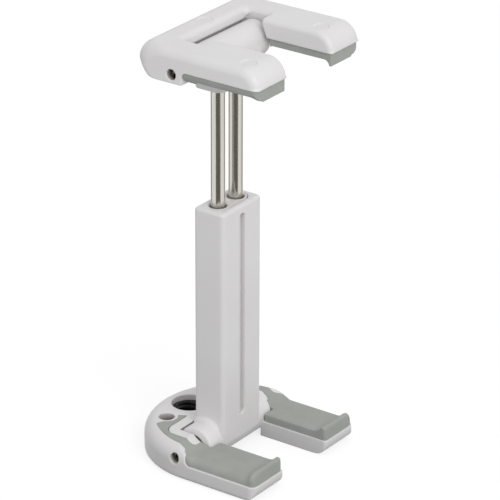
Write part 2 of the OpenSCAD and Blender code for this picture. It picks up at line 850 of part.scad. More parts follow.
// Side view of an upper pad: lip with a hollow behind it, flat face, ramp down to a thick heel
module top_pad_side(low, front) {
    thick_y = -heel_front - top_pad_heel;
    difference() {
        union() {
            span(-front, top_pad_z, -heel_front, parting_z);
            span(-front, low, -front + top_lip_tip + top_lip_h, parting_z);
            polygon([[thick_y - top_ramp, parting_z], [thick_y - top_ramp, top_pad_z],
                [thick_y, low], [-heel_front, low], [-heel_front, parting_z]]);
        }
        heel_corner();
        translate([-front + top_lip_tip + top_lip_h, low]) circle(top_lip_h);
    }
}

// Plan of both upper pads
module top_pad_plan(front) {
    inner = top_gap / 2 + top_pad_in;
    outer = top_w / 2 - pad_step / 2;
    difference() {
        union() {
            span(-outer, -front + nose_corner, outer, 0);
            span(-outer + nose_corner, -front, outer - nose_corner, 0);
            for (end = [-1, 1])
                translate([end * (outer - nose_corner), -front + nose_corner]) circle(nose_corner);
        }
        span(-inner, -front - past, inner, past);
    }
}

// Front view of both upper pads, rounded under their outer edges
module top_pad_front(low) {
    outer = top_w / 2 - pad_step / 2;
    r = top_pad_round;
    span(-outer + r, low, outer - r, parting_z);
    for (side = [-1, 1]) translate([side * (outer - r), parting_z]) circle(r);
}

module upper_pad(side) color(grey) at_column() half(side) {
    low = top_pad_z - top_lip_h;
    front = top_reach - top_pad_in;
    difference() {
        intersection() {
            along_x(-top_w, top_w) top_pad_side(low, front);
            along_y(-front - past, 0) top_pad_front(low);
            translate([0, 0, low]) linear_extrude(parting_z - low) top_pad_plan(front);
        }
        head_space();
    }
}
module upper_pad_left() upper_pad(-1);
module upper_pad_right() upper_pad(1);

base_body();
lower_pad_left();
lower_pad_right();
tripod_insert();
lower_pin_left();
lower_pin_right();
lower_washer_left();
lower_washer_right();
column_housing();
guide_plug();
spring_left();
spring_right();
rod_left();
rod_right();
collar_left();
collar_right();
collar_screw_left();
collar_screw_right();
head_block();
upper_jaw();
upper_pad_left();
upper_pad_right();
upper_pin_left();
upper_pin_right();
upper_washer_left();
upper_washer_right();
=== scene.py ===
"""Looks of a folding tripod phone clamp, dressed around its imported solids.

The clamp stands on its forked lower jaw. A hollow column rises from a hinge barrel between the
jaw's arms, two steel rods slide in it, and the forked upper jaw folds on the head that the rods
carry. White moulded plastic, grey rubber pads, drawn steel and one blackened threaded insert
are its finishes. Lengths in the classes are millimetres, measured from the column's axis across
the jaws (x), from the column's axis towards the back (y) and from the floor up (z); they become
metres in the clamp's own frame when a mesh is made.
"""

from __future__ import annotations

import logging
import math
from collections.abc import Callable
from dataclasses import dataclass
from enum import Enum

import bpy
import numpy as np
from mathutils import Matrix, Vector
from numpy.typing import NDArray


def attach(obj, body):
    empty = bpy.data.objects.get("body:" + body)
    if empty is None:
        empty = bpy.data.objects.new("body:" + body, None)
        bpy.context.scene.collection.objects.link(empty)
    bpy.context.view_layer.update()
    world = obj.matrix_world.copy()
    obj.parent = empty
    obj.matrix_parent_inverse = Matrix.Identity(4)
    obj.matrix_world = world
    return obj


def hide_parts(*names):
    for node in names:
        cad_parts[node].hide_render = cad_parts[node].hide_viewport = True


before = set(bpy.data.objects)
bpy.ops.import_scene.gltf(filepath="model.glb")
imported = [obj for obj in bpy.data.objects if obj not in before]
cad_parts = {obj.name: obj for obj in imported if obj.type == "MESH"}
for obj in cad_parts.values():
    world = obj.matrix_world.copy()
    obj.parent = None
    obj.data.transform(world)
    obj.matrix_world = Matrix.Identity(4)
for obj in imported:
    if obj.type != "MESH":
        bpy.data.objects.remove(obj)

LOG = logging.getLogger("phone_clamp")
Array = NDArray[np.float64]
Pair = tuple[float, float]
Triple = tuple[float, float, float]
Socket = bpy.types.NodeSocket

MM = 0.001
AXIS_Y = -10.7
PIN_Y = 0.35
LOWER_PIN_Z = 4.65
UPPER_PIN_Z = 96.5
PIN_BORE = 1.25
ROD_PITCH = 6.66


class Body(str, Enum):
    """The clamp's bodies, as its solids name them."""

    BASE = "base"
    COLUMN = "column"
    CARRIAGE = "carriage"
    UPPER = "upper"


class Slot(str, Enum):
    """The material slots of the clamp's record."""

    WHITE = "white_plastic"
    RUBBER = "pad_rubber"
    PLUG = "plug_plastic"
    COLLAR = "collar_plastic"
    ROD = "rod_steel"
    SPRING = "spring_steel"
    PIN = "pin_steel"
    INSERT = "black_metal"


class Side(Enum):
    """Left and right half, with the sign of x on that side."""

    LEFT = -1.0
    RIGHT = 1.0

    @property
    def word(self) -> str:
        """The side as it stands in a piece's name."""
        return self.name.lower()


def to_frame(points: Array) -> Array:
    """Turns millimetres from the column's axis into metres in the clamp's frame."""
    return (points + np.array([0.0, AXIS_Y, 0.0])) * MM


def smooth_step(share: Array) -> Array:
    """Eases a share between 0 and 1 so that it starts and ends level."""
    return share * share * (3.0 - 2.0 * share)


def share_of(value: Array, start: float, length: float) -> Array:
    """Share of a run that a value has reached, from 0 at its start to 1 at its end."""
    return np.clip((value - start) / length, 0.0, 1.0)


def half_chord(radius: Array | float, away: Array) -> Array:
    """Half a circle's chord at a distance from its centre, and nothing outside the circle."""
    return np.sqrt((radius**2 - away**2).clip(0.0))


def full_turn(count: int) -> Array:
    """Angles in radians, spread evenly once round."""
    return np.linspace(0.0, 2.0 * np.pi, count, endpoint=False)


def linked(name: str, data: bpy.types.ID) -> bpy.types.Object:
    """Makes an object of a mesh, lamp or camera and puts it in the scene."""
    item = bpy.data.objects.new(name, data)
    bpy.context.scene.collection.objects.link(item)
    return item


class Nodes:
    """A node tree that is built up one node at a time."""

    def __init__(self, owner: bpy.types.ID) -> None:
        """Takes over the emptied node tree of a material or a world.

        Args:
            owner: The material or world.
        """
        owner.use_nodes = True
        self.tree = owner.node_tree
        self.tree.nodes.clear()

    def add(self, kind: str, **values: float | tuple[float, ...]) -> bpy.types.Node:
        """Adds a node.

        Args:
            kind: The node's type, without the word that all types start with.
            values: Its sockets' values, with _ for each space in a socket's name.

        Returns:
            The new node.
        """
        node = self.tree.nodes.new(f"ShaderNode{kind}")
        for name, value in values.items():
            node.inputs[name.replace("_", " ")].default_value = value
        return node

    def join(self, source: Socket, target: Socket) -> None:
        """Links one socket to another."""
        self.tree.links.new(source, target)

    def mapped(self, value: Socket, ends: tuple[float, float, float, float]) -> Socket:
        """Carries a value over from one range, the first two ends, to another, the last two."""
        node = self.add("MapRange")
        for name, number in zip(("From Min", "From Max", "To Min", "To Max"), ends):
            node.inputs[name].default_value = number
        self.join(value, node.inputs["Value"])
        return node.outputs["Result"]


class Shader(Nodes):
    """A material with one Principled shader, whose sockets follow noises over the piece."""

    middle: Pair = (0.3, 0.7)

    def __init__(self, name: str) -> None:
        """Starts the material.

        Args:
            name: The material's name.
        """
        self.material = bpy.data.materials.new(name)
        super().__init__(self.material)
        self.surface = self.add("BsdfPrincipled")
        self.join(self.surface.outputs["BSDF"], self.add("OutputMaterial").inputs["Surface"])
        self.place = self.add("TexCoord").outputs["Object"]

    def noise(self, stretch: Triple, detail: float, rough: float = 0.5) -> Socket:
        """Adds a noise over the piece.

        Args:
            stretch: Cells per metre along x, y and z.
            detail: Octaves of the noise.
            rough: Share that each finer octave keeps.

        Returns:
            The noise's value from 0 to 1.
        """
        mapping = self.add("Mapping", Scale=stretch)
        self.join(self.place, mapping.inputs["Vector"])
        texture = self.add("TexNoise", Scale=1.0, Detail=detail, Roughness=rough)
        self.join(mapping.outputs["Vector"], texture.inputs["Vector"])
        return texture.outputs["Fac"]

    def between(self, value: Socket, low: Triple, high: Triple, span: Pair) -> Socket:
        """Blends two colours.

        Args:
            value: What drives the blend.
            low: Linear colour at the lower end.
            high: Linear colour at the upper end.
            span: Values at which the two ends are reached.

        Returns:
            The blended colour.
        """
        ramp = self.add("ValToRGB")
        for end, place, colour in zip(ramp.color_ramp.elements, span, (low, high)):
            end.position = place
            end.color = (*colour, 1.0)
        self.join(value, ramp.inputs["Fac"])
        return ramp.outputs["Color"]

    def ramp(self, value: Socket, low: Triple, high: Triple) -> None:
        """Colours the surface between two shades that follow a value."""
        self.join(self.between(value, low, high, self.middle), self.surface.inputs["Base Color"])

    def rough_between(self, value: Socket, low: float, high: float) -> None:
        """Lets the roughness follow a value between two limits."""
        rough = self.mapped(value, (*self.middle, low, high))
        self.join(rough, self.surface.inputs["Roughness"])

    def bump(self, value: Socket, strength: float, depth: float) -> None:
        """Raises the surface a little where a value is high.

        Args:
            value: What drives the relief.
            strength: Share of the relief that shows.
            depth: Height of the relief in metres.
        """
        relief = self.add("Bump", Strength=strength, Distance=depth)
        self.join(value, relief.inputs["Height"])
        self.join(relief.outputs["Normal"], self.surface.inputs["Normal"])

    def cavity(self, painted_shade_colour: Triple, reach: float, span: Pair) -> None:
        """Paints shade into the colour in holes, grooves and tight corners, where the piece's own
        walls close round it.

        Args:
            painted_shade_colour: Linear colour that multiplies the surface's own in the deepest
                places.
            reach: How far the surface looks for its own walls, in metres.
            span: Openness at which the deep colour is whole, and at which it is gone.
        """
        open_sky = self.add("AmbientOcclusion", Distance=reach)
        open_sky.only_local = True
        open_sky.samples = 8
        shade = self.between(open_sky.outputs["AO"], painted_shade_colour, (1.0, 1.0, 1.0), span)
        tint = self.add("Mix")
        tint.data_type, tint.blend_type = "RGBA", "MULTIPLY"
        tint.inputs["Factor"].default_value = 1.0
        base = self.surface.inputs["Base Color"]
        self.join(base.links[0].from_socket, tint.inputs["A"])
        self.join(shade, tint.inputs["B"])
        self.join(tint.outputs["Result"], base)

    def set(self, **values: float | tuple[float, ...]) -> bpy.types.Material:
        """Sets sockets that are the same all over the surface, and gives the finished material."""
        for name, value in values.items():
            self.surface.inputs[name.replace("_", " ")].default_value = value
        return self.material


@dataclass(frozen=True)
class MouldedPlastic:
    """Satin moulded plastic: faint cloudiness, a fine eroded grain, uneven gloss, and shade painted
    into its hollows.
    """

    name: str
    low: Triple
    high: Triple
    rough: Pair = (0.36, 0.48)
    cloud: float = 70.0
    gloss: float = 900.0
    grain: float = 6500.0
    relief: Pair = (0.10, 0.00004)
    # Colour of the shade painted into holes, grooves and tight corners, how far the piece looks for
    # its own walls, and the openness over which the painted shade fades out.
    painted_shade_colour: Triple = (0.20, 0.13, 0.12)
    reach: float = 0.008
    painted_shade_span: Pair = (0.10, 0.52)

    def build(self) -> bpy.types.Material:
        """Builds the material."""
        shader = Shader(self.name)
        shader.ramp(shader.noise((self.cloud,) * 3, 2.0), self.low, self.high)
        shader.cavity(self.painted_shade_colour, self.reach, self.painted_shade_span)
        shader.rough_between(shader.noise((self.gloss,) * 3, 2.0), *self.rough)
        shader.bump(shader.noise((self.grain,) * 3, 2.0), *self.relief)
        return shader.set(IOR=1.46)


@dataclass(frozen=True)
class PadRubber:
    """Soft matte rubber: dull, slightly dusty, with a fine pebbled skin."""

    name: str
    low: Triple
    high: Triple
    rough: Pair = (0.66, 0.80)
    dust: float = 260.0
    gloss: float = 1500.0
    pebble: float = 3800.0
    relief: Pair = (0.22, 0.00005)

    def build(self) -> bpy.types.Material:
        """Builds the material."""
        shader = Shader(self.name)
        shader.ramp(shader.noise((self.dust,) * 3, 4.0), self.low, self.high)
        shader.rough_between(shader.noise((self.gloss,) * 3, 2.0), *self.rough)
        shader.bump(shader.noise((self.pebble,) * 3, 3.0, 0.6), *self.relief)
        return shader.set(IOR=1.5, Sheen_Weight=0.08, Sheen_Roughness=0.4)


@dataclass(frozen=True)
class WorkedSteel:
    """Steel with the marks of its making stretched along one direction."""

    name: str
    low: Triple
    high: Triple
    rough: Pair
    stretch: Triple
    finer: float = 1.7
    relief: Pair = (0.12, 0.00002)

    def build(self) -> bpy.types.Material:
        """Builds the material."""
        shader = Shader(self.name)
        shader.ramp(shader.noise(self.stretch, 4.0, 0.6), self.low, self.high)
        streak = shader.noise(tuple(self.finer * cells for cells in self.stretch), 5.0, 0.6)
        shader.rough_between(streak, *self.rough)
        shader.bump(streak, *self.relief)
        return shader.set(Metallic=1.0)


@dataclass(frozen=True)
class BlackenedMetal:
    """Blackened metal under a thin oil film: nearly black, with sharp small highlights."""

    name: str
    low: Triple
    high: Triple
    rough: Pair = (0.22, 0.36)
    cloud: Triple = (1800.0, 1800.0, 500.0)
    gloss: float = 2600.0
    grain: float = 5200.0
    relief: Pair = (0.15, 0.00003)

    def build(self) -> bpy.types.Material:
        """Builds the material."""
        shader = Shader(self.name)
        shader.ramp(shader.noise(self.cloud, 4.0), self.low, self.high)
        shader.rough_between(shader.noise((self.gloss,) * 3, 3.0), *self.rough)
        shader.bump(shader.noise((self.grain,) * 3, 2.0), *self.relief)
        return shader.set(Metallic=0.1, Specular_IOR_Level=0.22, Coat_Weight=0.12,
                          Coat_Roughness=0.10)


class Finishes:
    """All finishes of the clamp, one material per slot of its record."""

    def __init__(self) -> None:
        """Builds every material once."""
        looks = {
            Slot.WHITE: MouldedPlastic("white_plastic", (0.735, 0.722, 0.726),
                                       (0.765, 0.758, 0.760)),
            Slot.PLUG: MouldedPlastic("plug_plastic", (0.690, 0.678, 0.676),
                                      (0.725, 0.715, 0.712), (0.42, 0.54)),
            Slot.COLLAR: MouldedPlastic("collar_plastic", (0.18, 0.18, 0.18),
                                        (0.22, 0.22, 0.22), (0.45, 0.6)),
            Slot.RUBBER: PadRubber("pad_rubber", (0.335, 0.352, 0.325), (0.370, 0.388, 0.360)),
            Slot.ROD: WorkedSteel("rod_steel", (0.55, 0.53, 0.48), (0.68, 0.66, 0.61),
                                  (0.14, 0.27), (2600.0, 2600.0, 22.0)),
            Slot.SPRING: WorkedSteel("spring_steel", (0.40, 0.39, 0.37), (0.52, 0.51, 0.49),
                                     (0.24, 0.36), (1500.0, 1500.0, 900.0)),
            # The pin steel is coloured dark to paint the shade of the holes that the pins sit in;
            # the washers and collar screws share this finish.
            Slot.PIN: WorkedSteel("pin_steel", (0.10, 0.092, 0.070), (0.20, 0.185, 0.145),
                                  (0.20, 0.34), (60.0, 3000.0, 3000.0)),
            Slot.INSERT: BlackenedMetal("black_metal", (0.004, 0.004, 0.004),
                                        (0.012, 0.011, 0.010)),
        }
        self.by_slot = {slot: look.build() for slot, look in looks.items()}

    def dress(self, piece: bpy.types.Object, slot: Slot) -> None:
        """Puts the finish of a slot on a piece.

        Args:
            piece: The mesh object.
            slot: Whose finish it takes.
        """
        piece.data.materials.clear()
        piece.data.materials.append(self.by_slot[slot])

    def seat(self, piece: bpy.types.Object, slot: Slot, body: Body, *nodes: str) -> None:
        """Dresses a new piece and seats it on its body.

        Args:
            piece: The mesh object.
            slot: Whose finish it takes.
            body: What it moves with.
            nodes: The solids that it stands for.
        """
        self.dress(piece, slot)
        if nodes:
            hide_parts(*nodes)
        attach(piece, body.value)
        LOG.info("%s: %d faces", piece.name, len(piece.data.polygons))


def finished(name: str, mesh: bpy.types.Mesh, crease: float) -> bpy.types.Object:
    """Links a mesh as an object with smooth faces and crisp edges above an angle.

    Args:
        name: The piece's name.
        mesh: Its mesh, in metres in the clamp's frame.
        crease: Angle in degrees above which an edge stays sharp.

    Returns:
        The new object.
    """
    mesh.polygons.foreach_set("use_smooth", np.ones(len(mesh.polygons), bool))
    mesh.set_sharp_from_angle(angle=math.radians(crease))
    return linked(name, mesh)


def lattice(name: str, points: Array, looped: bool = False) -> bpy.types.Object:
    """Makes a closed mesh from a grid of points P(u, v), whose rings are closed along v.

    Four neighbours make a face. Where the grid isn't looped along u, its first and last rings
    become flat caps. Faces are turned outwards by the sign of the enclosed volume, which is the
    sum over triangles of p0 . (p1 x p2) / 6.

    Args:
        name: The piece's name.
        points: Grid of shape (U, V, 3), in millimetres from the column's axis.
        looped: Whether the last ring joins the first.

    Returns:
        The new object, smooth shaded, at the origin.
    """
    count_u, count_v, _ = points.shape
    index = np.arange(count_u * count_v).reshape(count_u, count_v)
    here, above = (index, np.roll(index, -1, 0)) if looped else (index[:-1], index[1:])
    quads = np.stack([here, np.roll(here, -1, 1), np.roll(above, -1, 1), above], -1).reshape(-1, 4)
    flat = to_frame(points).reshape(-1, 3)
    first, second, third, fourth = flat[quads].transpose(1, 0, 2)
    volume = (first * np.cross(second, third)).sum() + (first * np.cross(third, fourth)).sum()
    turned = -1 if volume < 0 else 1
    loops, totals = [quads[:, ::turned].ravel()], [np.full(len(quads), 4)]
    if not looped:
        loops += [index[0][::-turned], index[-1][::turned]]
        totals.append(np.array([count_v, count_v]))
    around = np.concatenate(loops).astype(np.int32)
    sizes = np.concatenate(totals).astype(np.int32)
    starts = np.concatenate([[0], np.cumsum(sizes)[:-1]]).astype(np.int32)
    mesh = bpy.data.meshes.new(name)
    mesh.vertices.add(len(flat))
    mesh.vertices.foreach_set("co", flat.astype(np.float32).ravel())
    mesh.loops.add(len(around))
    mesh.loops.foreach_set("vertex_index", around)
    mesh.polygons.add(len(sizes))
    mesh.polygons.foreach_set("loop_start", starts)
    mesh.polygons.foreach_set("loop_total", sizes)
    mesh.update(calc_edges=True)
    mesh.validate()
    return finished(name, mesh, crease=40.0)


@dataclass
class SoftenedPart:
    """A moulded part whose edges are rounded off as they leave the mould.

    The part's solid is welded, rebuilt on a fine even grid and relaxed a few times, which rounds
    every edge by about the grid's step and leaves flat and curved faces in place. A subclass
    says how points move before and after that.
    """

    node: str
    body: Body
    slot: Slot
    step: float
    passes: int
    keep: float = 1.0
    weld: float = 0.002

    def before(self, points: Array) -> Array:
        """Moves the solid's corners before it is rebuilt; here they stay."""
        return points

    def after(self, points: Array) -> Array:
        """Moves the rebuilt surface's points; here they stay."""
        return points

    @staticmethod
    def moved(mesh: bpy.types.Mesh, way: Callable[[Array], Array]) -> None:
        """Moves a mesh's points as a function of where they are.

        Args:
            mesh: The mesh, in metres in the clamp's frame.
            way: Takes and gives points in millimetres from the column's axis.
        """
        flat = np.empty(3 * len(mesh.vertices))
        mesh.vertices.foreach_get("co", flat)
        points = flat.reshape(-1, 3) / MM - np.array([0.0, AXIS_Y, 0.0])
        mesh.vertices.foreach_set("co", to_frame(way(points)).ravel())
        mesh.update()

    def build(self, finishes: Finishes) -> None:
        """Builds the part and lets it stand for its solid.

        Args:
            finishes: Where its finish comes from.
        """
        draft = linked("draft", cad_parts[self.node].data.copy())
        self.moved(draft.data, self.before)
        draft.modifiers.new("weld", "WELD").merge_threshold = self.weld * MM
        grid = draft.modifiers.new("grid", "REMESH")
        grid.mode = "VOXEL"
        grid.voxel_size = self.step * MM
        relax = draft.modifiers.new("relax", "SMOOTH")
        relax.factor = 0.5
        relax.iterations = self.passes
        if self.keep < 1.0:
            draft.modifiers.new("thin", "DECIMATE").ratio = self.keep
        solved = draft.evaluated_get(bpy.context.evaluated_depsgraph_get())
        mesh = bpy.data.meshes.new_from_object(solved)
        bpy.data.objects.remove(draft)
        self.moved(mesh, self.after)
        mesh.name = f"{self.node}_skin"
        finishes.seat(finished(mesh.name, mesh, crease=180.0), self.slot, self.body, self.node)


@dataclass
class GuidePlug(SoftenedPart):
    """The plug in the column's top, with a dark open ring round each rod."""

    hole: Pair = (0.5, 2.2)
    well: float = 2.04
    web: float = 0.06
    rise: float = 0.3

    def before(self, points: Array) -> Array:
        """Widens the rods' holes to the well and lifts the plug to the column's rim."""
        out = np.abs(points[:, 0]) - ROD_PITCH / 2
        reach = np.hypot(out, points[:, 1])
        near = (reach > self.hole[0]) & (reach < self.hole[1])
        scale = np.maximum(self.well, reach + self.web) / np.maximum(reach, self.hole[0])
        x = np.sign(points[:, 0]) * (ROD_PITCH / 2 + out * scale)
        moved = points.copy()
        moved[:, 0] = np.where(near, x, points[:, 0])
        moved[:, 1] = np.where(near, points[:, 1] * scale, points[:, 1])
        moved[:, 2] += self.rise
        return moved


@dataclass
class HeadBlock(SoftenedPart):
    """The head on the rods, whose neck ends a little above the solid's."""

    neck_z: float = 89.45
    rise: float = 0.3

    def before(self, points: Array) -> Array:
        """Lifts the neck's lower face."""
        moved = points.copy()
        moved[:, 2] += self.rise * (points[:, 2] < self.neck_z)
        return moved


@dataclass
class BaseBody(SoftenedPart):
    """The base, whose bridge under the column begins a little behind the solid's."""

    half: float = 12.2
    bridge_y: Pair = (-4.9, -3.0)
    bridge_z: float = 4.0
    back: float = 1.15

    def before(self, points: Array) -> Array:
        """Draws the bridge's front edge back."""
        side, y, z = np.abs(points[:, 0]), points[:, 1], points[:, 2]
        front = (y > self.bridge_y[0]) & (y < self.bridge_y[1]) & (z < self.bridge_z)
        moved = points.copy()
        moved[:, 1] += self.back * (front & (side < self.half))
        return moved


@dataclass
class UpperFrame(SoftenedPart):
    """The upper jaw's white frame.

    Its upper half is drawn onto a formula. Three distances into the frame are taken: from its
    outline in plan, from the windows, and from the top, which ends in a quarter round at the
    arms' noses. Where two of them meet, the edge is a rolling ball's round.
    """

    half_w: float = 19.6
    reach: float = 22.1
    back: float = 11.25
    top_z: float = 102.75
    parting_z: float = 98.1
    gap: float = 8.2
    pocket_x: float = 12.1
    bar_front: float = 3.3
    corner: float = 4.6
    edge: float = 1.45
    window_edge: float = 1.35
    back_edge: float = 4.3
    back_run: Pair = (3.0, 6.0)
    fall: float = 0.62
    fall_in: float = 3.6
    fill: float = 1.6
    mark_r: float = 1.85
    mark_wall: float = 0.35
    mark_painted_shade_colour: float = 0.26
    marks: tuple[Pair, ...] = ((-15.5, -17.0), (11.7, -17.0), (0.0, 5.8))
    hole_r: float = 1.3
    hole_rise: float = 0.62
    hole_back: float = 0.25
    step_y: float = -5.4
    rear: Triple = (-3.75, 0.36, 100.9)
    rear_z: Pair = (98.0, 102.0)
    rear_run: float = 3.6
    rear_in: float = 1.6
    barrel_r: float = 5.2
    cheek_r: float = 2.4
    skip: float = 0.12
    blend: float = 0.5
    probe: float = 0.02
    rounds: int = 7
    stride: float = 0.6
    flattest: float = 0.25

    def rear_y(self, z: Array) -> Array:
        """Where the leaning rear faces of the arms' inner halves stand at a height."""
        start, lean, level = self.rear
        return start - lean * (level - z)

    def before(self, points: Array) -> Array:
        """Lifts the pin holes in the ears and leans the rear faces of the arms' inner halves."""
        side, y, z = np.abs(points[:, 0]), points[:, 1], points[:, 2]
        hole = (np.hypot(y - PIN_Y, z - UPPER_PIN_Z) < self.hole_r) & (side > self.pocket_x - 0.1)
        moved = points.copy()
        moved[:, 1] += self.hole_back * hole
        moved[:, 2] += self.hole_rise * hole
        rear = (side > self.gap - 0.1) & (side < self.half_w - self.rear_in)
        rear &= (z > self.rear_z[0]) & (y < self.step_y + 0.1)
        share = np.clip((y - self.step_y + self.rear_run) / self.rear_run, 0.0, 1.0)
        moved[:, 1] += rear * share * (self.rear_y(np.minimum(z, self.rear_z[1])) - self.step_y)
        return moved

    @staticmethod
    def rounded(first: Array, second: Array, radius: Array | float) -> Array:
        """Depth below two faces whose common edge is rounded off.

        Args:
            first: Depth below one face.
            second: Depth below the other.
            radius: The round's radius.

        Returns:
            The depth, negative outside.
        """
        one, two = radius - first, radius - second
        inside = np.minimum(np.maximum(one, two), 0.0)
        return radius - np.hypot(one.clip(0.0), two.clip(0.0)) - inside

    def joined(self, first: Array, second: Array) -> Array:
        """The greater of two depths, with the inner corner between them filled a little."""
        near = (self.fill - np.abs(first - second)).clip(0.0)
        return np.maximum(first, second) + near * near / (4.0 * self.fill)

    def depth(self, points: Array) -> Array:
        """Works out how deep points lie below the frame's surface, by the class's formula.

        Args:
            points: Where, in millimetres from the column's axis.

        Returns:
            The depths, negative outside.
        """
        side, y, z = np.abs(points[:, 0]), points[:, 1], points[:, 2]
        outline = self.rounded(self.half_w - side, self.back - y, self.corner)
        toward_back = smooth_step(share_of(y, *self.back_run))
        edge = self.edge + (self.back_edge - self.edge) * toward_back
        inward = (self.fall_in - outline).clip(0.0) / self.fall_in
        fall = self.fall * (1.0 - toward_back) * inward**2
        height = self.top_z - self.parting_z
        nose_y = height - self.reach
        nose = height - np.hypot(y - nose_y, z - self.parting_z)
        top = np.where(y < nose_y, nose, self.top_z - z) - fall
        for at in self.marks:
            away = np.hypot(points[:, 0] - at[0], y - at[1])
            dish = np.clip((self.mark_r - away) / self.mark_wall, 0.0, 1.0)
            top = top - self.mark_painted_shade_colour * smooth_step(dish)
        narrow = self.joined(side - self.gap, y - self.bar_front)
        wide = self.joined(side - self.pocket_x, y - self.bar_front)
        window = np.minimum(narrow, self.joined(wide, self.rear_y(z) - y))
        outer = self.rounded(np.where(y < nose_y, self.half_w - side, outline), top, edge)
        return np.minimum(outer, self.rounded(window, top, self.window_edge))

    def after(self, points: Array) -> Array:
        """Draws the upper half's points along the formula's slope until their depth is nothing.

        Args:
            points: The rebuilt surface's points.

        Returns:
            The drawn points.
        """
        side, low = np.abs(points[:, 0]), self.parting_z + self.skip
        hinge = np.hypot(points[:, 1] - PIN_Y, points[:, 2] - UPPER_PIN_Z)
        free = (points[:, 2] > low) & ((side >= self.pocket_x + 0.1) | (hinge >= self.barrel_r))
        free &= (hinge > self.cheek_r) | (side < self.pocket_x)
        share = share_of(points[free, 2], low, self.blend)[:, None]
        start = points[free]
        here = start.copy()
        for _ in range(self.rounds):
            level = self.depth(here).clip(-self.stride, self.stride)
            slope = np.stack([self.depth(here + way) - self.depth(here - way)
                              for way in self.probe * np.eye(3)], -1) / (2.0 * self.probe)
            steep = (slope**2).sum(-1).clip(self.flattest, None)
            here = here - level[:, None] * slope / steep[:, None]
        moved = points.copy()
        moved[free] = start + (here - start) * share
        return moved


@dataclass
class TurnedRod:
    """A round rod turned about an upright axis, with a small chamfer at both ends."""

    side: Side
    radius: float = 1.58
    low: float = 44.0
    top: float = 95.0
    chamfer: float = 0.25
    segments: int = 72

    def build(self, finishes: Finishes) -> None:
        """Turns the profile: P(u, v) = centre + (r(u) cos v, r(u) sin v, z(u)).

        Args:
            finishes: Where its finish comes from.
        """
        c, r = self.chamfer, self.radius
        profile = [(r - c, self.low), (r, self.low + c), (r, self.top - c), (r - c, self.top)]
        radius, height = np.array(profile)[..., None].transpose(1, 0, 2)
        turn = full_turn(self.segments)
        points = np.stack([self.side.value * ROD_PITCH / 2 + radius * np.cos(turn),
                           radius * np.sin(turn), height + 0.0 * turn], -1)
        name = f"rod_{self.side.word}"
        finishes.seat(lattice(f"{name}_drawn", points), Slot.ROD, Body.CARRIAGE, name)


@dataclass
class TripodInsert:
    """The threaded insert in the base, with a real helical thread down its bore."""

    centre_y: float = 10.7
    body_r: float = 3.5
    collar_r: float = 4.05
    top: float = 6.4
    collar_t: float = 1.2
    minor_r: float = 2.55
    major_r: float = 3.12
    pitch: float = 1.27
    crest: Pair = (1.25, 0.12)
    mouth: float = 0.45
    mouth_rim: float = 0.25
    chamfer: float = 0.18
    collar_edge: float = 0.1
    foot_edge: float = 0.15
    segments: int = 96
    rings: int = 120

    def build(self, finishes: Finishes) -> None:
        """Builds the insert as one closed ring of profiles.

        The bore's radius is minor + (major - minor) * groove(phase), where the phase is
        z / pitch - v / 2 pi and groove is a rounded saw that is 0 on the thread's crest. The
        outside goes down the collar and the body with small chamfers.

        Args:
            finishes: Where its finish comes from.
        """
        turn = full_turn(self.segments)
        height = np.linspace(0.0, self.top, self.rings)
        phase = height[:, None] / self.pitch - turn[None, :] / (2.0 * np.pi)
        gain, flat = self.crest
        groove = np.clip(gain * (0.5 - 0.5 * np.cos(2.0 * np.pi * phase)) - flat, 0.0, 1.0)
        from_end = np.minimum(height, self.top - height)[:, None]
        open_end = np.clip(1.0 - from_end / self.mouth, 0.0, 1.0)
        bore = self.minor_r + (self.major_r - self.minor_r) * np.maximum(groove, open_end)
        under = self.top - self.collar_t
        outside = np.array([
            (self.major_r + self.mouth_rim, self.top), (self.collar_r - self.chamfer, self.top),
            (self.collar_r, self.top - self.chamfer), (self.collar_r, under + self.collar_edge),
            (self.collar_r - self.collar_edge, under), (self.body_r, under),
            (self.body_r, self.foot_edge), (self.body_r - self.foot_edge, 0.0),
        ])
        rest = np.broadcast_to(outside[:, :1], (len(outside), self.segments))
        radius = np.concatenate([bore, rest])
        level = np.concatenate([height, outside[:, 1]])[:, None]
        points = np.stack([radius * np.cos(turn), self.centre_y + radius * np.sin(turn),
                           np.broadcast_to(level, radius.shape)], -1)
        piece = lattice("tripod_insert_threaded", points, looped=True)
        finishes.seat(piece, Slot.INSERT, Body.BASE, "tripod_insert")


